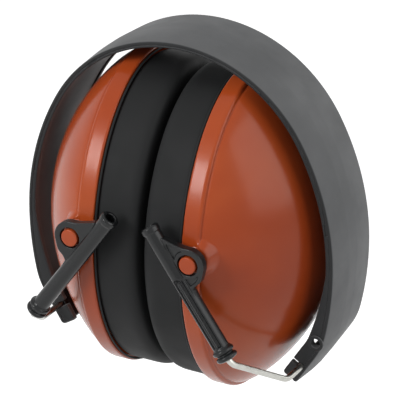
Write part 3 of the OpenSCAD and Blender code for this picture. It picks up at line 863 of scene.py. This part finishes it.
def makeCup(side):
    outer, step, inner = cupOutline()
    angles = [math.radians(angle) for angle in cupAngles()]
    points = []
    # the last rows of the step lie inside the rim, where there are no pads
    outside = len(outer) + len(step) - 6
    for row, (r, h) in enumerate(outer + step + inner):
        for angle in angles:
            x, y, z = roundCup(h, r, angle)
            p = (x, y, max(0.0, z))
            points.append(withPads(*p) if row < outside else p)
    faces = gridFaces(len(outer) + len(step) + len(inner), len(angles), closeColumns=True)
    shell = meshPiece("cup-shell-" + side, onSide(points, side), faces, orangeAbs, 60)
    mendMesh(shell.data, 0.003)
    hub, stud, pad = cup["hubRadius"], cup["studRadius"], layout["padY"]
    top = layout["sliderY"] - cup["eyeHalf"] - cup["eyeGap"]
    face = layout["sliderY"] + cup["eyeHalf"] + cup["studPast"]
    corners = softCorners([(0.01, pad - 2, 0), (hub + cup["hubFlare"], pad - 0.2, 0), (hub, pad + 0.3, 0.6),
                           (hub, top, 0.25), (stud, top, 0.2), (stud, face, 0.55), (0.01, face, 0)], 5)
    studs = []
    for axisOut in (-1, 1):
        made, studFaces = lathe([(q.x, q.y) for q in corners], 56, (layout["studX"], layout["studZ"]), axisOut)
        studs.append(meshPiece("pivotStud", onSide(made, side), studFaces, orangeAbs, 60))
    joinInto(shell, studs)
    smoothPiece(shell, 60)
    return place(shell, "cup_" + side, ["cup_shell_" + side])


for side in ("right", "left"):
    makeCup(side)
print("earmuff: cup shells made")


# ear cushions: a vinyl ring blown up over its foam

cushion = {
    "thickness": 16.0, "opening": 33.0, "outer": 55.8, "cornerSoft": 4.4,
    "slimBy": 0.9,                         # mm the ring starts inside its finished size
    "standsIn": 0.15,                      # mm from the rim face to the middle of its back
    "weldBand": 0.9,                       # mm of the back that stays welded while it swells
    "around": 132, "across": 44,           # points round the ring and round its section
    "pressure": 4.0, "frames": 20,
    "cap": 0.9,                            # mm, the most that a point may swell
    "fill": 0.7,
    "seams": ((55.6, -0.5), (33.6, -0.75)),    # radius of each welded seam, and its depth from the back
    "seamSize": (0.36, 0.4), "seamAround": 160, "seamSides": 10,
}


def cushionSection(slim):
    # closed outline of the ring as (radius, depth), evenly spaced
    inner, outer = cushion["opening"] + slim, cushion["outer"] - slim
    front, soft = -cushion["thickness"] + slim, cushion["cornerSoft"]
    loop = softCorners([(inner, 0.0, 0.8), (inner, front, soft), (outer, front, soft), (outer, 0.0, 0.8)], 7, True)
    loop.append(loop[0])
    lengths = [0.0]
    for p, q in zip(loop, loop[1:]):
        lengths.append(lengths[-1] + (q - p).length)
    made = []
    for i in range(cushion["across"]):
        want, k = lengths[-1] * i / cushion["across"], 0
        while lengths[k + 1] < want:
            k += 1
        t = (want - lengths[k]) / max(1e-9, lengths[k + 1] - lengths[k])
        made.append(loop[k].lerp(loop[k + 1], t))
    return made


def makeCushion(side):
    section = cushionSection(cushion["slimBy"])
    count, back = cushion["around"], -cushion["standsIn"]
    points = [roundCup(back + q.y, q.x, 2 * math.pi * i / count) for i in range(count) for q in section]
    points = onSide(points, side)
    piece = meshPiece("ear-cushion-" + side, points, gridFaces(count, len(section), True, True), vinylSkin)
    rest = [v.co.copy() for v in piece.data.vertices]
    held = piece.vertex_groups.new(name="weldedBack")
    heldFrom = layout["rimX"] + back - cushion["weldBand"]
    held.add([i for i, p in enumerate(points) if abs(p[0]) > heldFrom], 1.0, "REPLACE")
    cloth = piece.modifiers.new("swell", "CLOTH")
    settings = cloth.settings
    settings.quality = 6
    settings.mass = 0.25
    settings.tension_stiffness = settings.compression_stiffness = 18
    settings.shear_stiffness = 12
    settings.bending_stiffness = 1.2
    settings.use_pressure = True
    settings.uniform_pressure_force = cushion["pressure"]
    settings.vertex_group_mass = "weldedBack"
    settings.effector_weights.gravity = 0.0
    cloth.collision_settings.use_collision = False
    for step in range(1, cushion["frames"] + 1):
        bpy.context.scene.frame_set(step)
    applyModifiers(piece)
    bpy.context.scene.frame_set(1)
    cap = cushion["cap"] * mm
    for vertex, start in zip(piece.data.vertices, rest):
        move = vertex.co - start
        if move.length > cap:
            vertex.co = start + move * (cap / move.length)
    divide = piece.modifiers.new("finer", "SUBSURF")
    divide.levels = divide.render_levels = 1
    applyModifiers(piece)

    # welded seam that runs round both back edges
    seams, (high, wide) = [], cushion["seamSize"]
    around, sides = cushion["seamAround"], cushion["seamSides"]
    for radius, h in cushion["seams"]:
        seam = []
        for i in range(around):
            for k in range(sides):
                b = 2 * math.pi * k / sides
                seam.append(roundCup(back + h + wide * math.sin(b), radius + high * math.cos(b),
                                     2 * math.pi * i / around))
        seams.append(meshPiece("seam", onSide(seam, side), gridFaces(around, sides, True, True), vinylSkin))
    joinInto(piece, seams)
    smoothPiece(piece)
    place(piece, "cup_" + side, ["ear_cushion_" + side, "cushion_foam_" + side])
    return piece


for side in ("right", "left"):
    makeCushion(side)
print("earmuff: ear cushions made")


# damping foam and seal plate behind the cushions

damping = {
    "inset": 3.1, "front": 14.0,
    "dish": 4.0, "dishRadius": 33,         # hollow of the face that looks at the ear
    "cutWaves": 0.35, "waveSize": 5.0,     # mm, the saw's waves across that face
    "faceRings": 15, "backRings": 14, "around": 72,
    "fill": 0.5,
}


def makeDampingFoam(side):
    face, backRings, around, rows = damping["faceRings"], damping["backRings"], damping["around"], []
    for i in range(face):
        r = domeAt(damping["front"], damping["inset"]) * i / (face - 1)
        rows.append((r, damping["front"] + damping["dish"] * (1 - min(1, r / damping["dishRadius"]) ** 2)))
    for i in range(1, backRings):
        a = math.pi / 2 * (1 - i / (backRings - 1))
        h = damping["front"] + (layout["cupDepth"] - damping["inset"] - damping["front"]) * math.cos(a)
        rows.append((domeAt(h, damping["inset"]), h))
    points = []
    for k, (r, h) in enumerate(rows):
        for i in range(around):
            p = Vector(roundCup(h, r, 2 * math.pi * i / around))
            if k < face - 1:
                p.x += damping["cutWaves"] * (noise.noise(p / damping["waveSize"]) + 0.5)
            points.append(tuple(p))
    piece = meshPiece("damping-foam-" + side, onSide(points, side), gridFaces(len(rows), around, closeColumns=True),
                      foamCells)
    mendMesh(piece.data, 0.01)
    smoothPiece(piece)
    return place(piece, "cup_" + side, ["damping_foam_" + side])


for side in ("right", "left"):
    makeDampingFoam(side)
    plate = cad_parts["seal_plate_" + side]
    plate.data.materials.clear()
    plate.data.materials.append(blackAcetal)
print("earmuff: foams and plates made")


# floor, world, lamps and camera

studio = {
    "white": "#FFFFFF",
    "worldLevel": 0.24,
    "paper": "#C8C8C8",
    "floorLift": 0.75,         # light the floor adds for the eye only, so that it reads as white paper
    "floorHalf": 6,            # metres
    "swingRoom": 0.108,        # metres from the folded set down to the floor, so that the cups swing open above it
    "lampsLookAt": (0, 0, 0.06),
    "keyWatts": 8.2, "sideWatts": 5.0, "backWatts": 1.6,
    "shineWatts": 4.6,         # a small low lamp that only makes the highlights
    "lens": 245.1, "cameraAt": (0.3871, -0.7327, 0.4414), "cameraLooks": (-0.4235, 0.8040, -0.4174),
    "cameraRoll": 0.3,         # degrees
}


def seenDirectly(tree):
    # 1 for the eye and for what is mirrored or seen through, 0 for light that falls on the earmuff
    rays = addNode(tree, "ShaderNodeLightPath").outputs
    seen = addNode(tree, "ShaderNodeMath", {"operation": "MAXIMUM"},
                   {0: rays["Is Camera Ray"], 1: rays["Is Glossy Ray"]})
    through = addNode(tree, "ShaderNodeMath", {"operation": "MAXIMUM"},
                      {0: seen.outputs[0], 1: rays["Is Transmission Ray"]})
    return through.outputs[0]


def makeStage():
    floorMesh = bpy.data.meshes.new("floor")
    wide = studio["floorHalf"]
    corners = [(-wide, -wide, 0), (wide, -wide, 0), (wide, wide, 0), (-wide, wide, 0)]
    floorMesh.from_pydata(corners, [], [(0, 1, 2, 3)])
    floor = addObject("floor", floorMesh)
    floor.location.z = lowCorner.z - studio["swingRoom"]
    material, tree, shader = newMaterial("whitePaper")
    lift = addNode(tree, "ShaderNodeMath", {"operation": "MULTIPLY", 1: studio["floorLift"]},
                   {0: seenDirectly(tree)})
    setNode(tree, shader, {"Base Color": hexColour(studio["paper"]), "Roughness": 0.9, "Specular IOR Level": 0.1,
                           "Emission Color": hexColour(studio["white"])}, {"Emission Strength": lift.outputs[0]})
    floorMesh.materials.append(material)

    world = bpy.data.worlds.new("studio")
    bpy.context.scene.world = world
    world.use_nodes = True
    tree = world.node_tree
    level = addNode(tree, "ShaderNodeMapRange", {"To Min": studio["worldLevel"], "To Max": 1.0},
                    {"Value": seenDirectly(tree)})
    setNode(tree, tree.nodes["Background"], {"Color": hexColour(studio["white"])},
            {"Strength": level.outputs["Result"]})


def areaLamp(name, spot, size, watts, washes=True, shines=True):
    # washes: lights the surfaces; shines: shows in their gloss
    data = bpy.data.lights.new(name, "AREA")
    data.shape, data.size, data.energy = "SQUARE", size, watts
    lamp = addObject(name, data)
    lamp.visible_diffuse, lamp.visible_glossy = washes, shines
    lamp.location = spot
    lamp.rotation_euler = (Vector(studio["lampsLookAt"]) - Vector(spot)).to_track_quat("-Z", "Y").to_euler()


makeStage()
areaLamp("keySoftbox", (-0.45, -0.76, 0.60), 0.46, studio["keyWatts"], shines=False)
areaLamp("shineSoftbox", (-0.47, -0.89, 0.50), 0.34, studio["shineWatts"], washes=False)
areaLamp("sideSoftbox", (0.95, -0.05, 0.52), 0.9, studio["sideWatts"])
areaLamp("backSoftbox", (0.4, 0.85, 0.38), 0.5, studio["backWatts"])

cameraData = bpy.data.cameras.new("camera")
cameraData.lens, cameraData.sensor_width = studio["lens"], 36.0
cameraData.clip_start, cameraData.clip_end = 0.01, 20
camera = addObject("camera", cameraData)
camera.location = studio["cameraAt"]
camera.rotation_mode = "QUATERNION"
roll = Matrix.Rotation(math.radians(studio["cameraRoll"]), 4, "Z").to_quaternion()
camera.rotation_quaternion = Vector(studio["cameraLooks"]).to_track_quat("-Z", "Y") @ roll
bpy.context.scene.camera = camera
bpy.context.scene.view_settings.view_transform = "Standard"
print("earmuff: studio made")
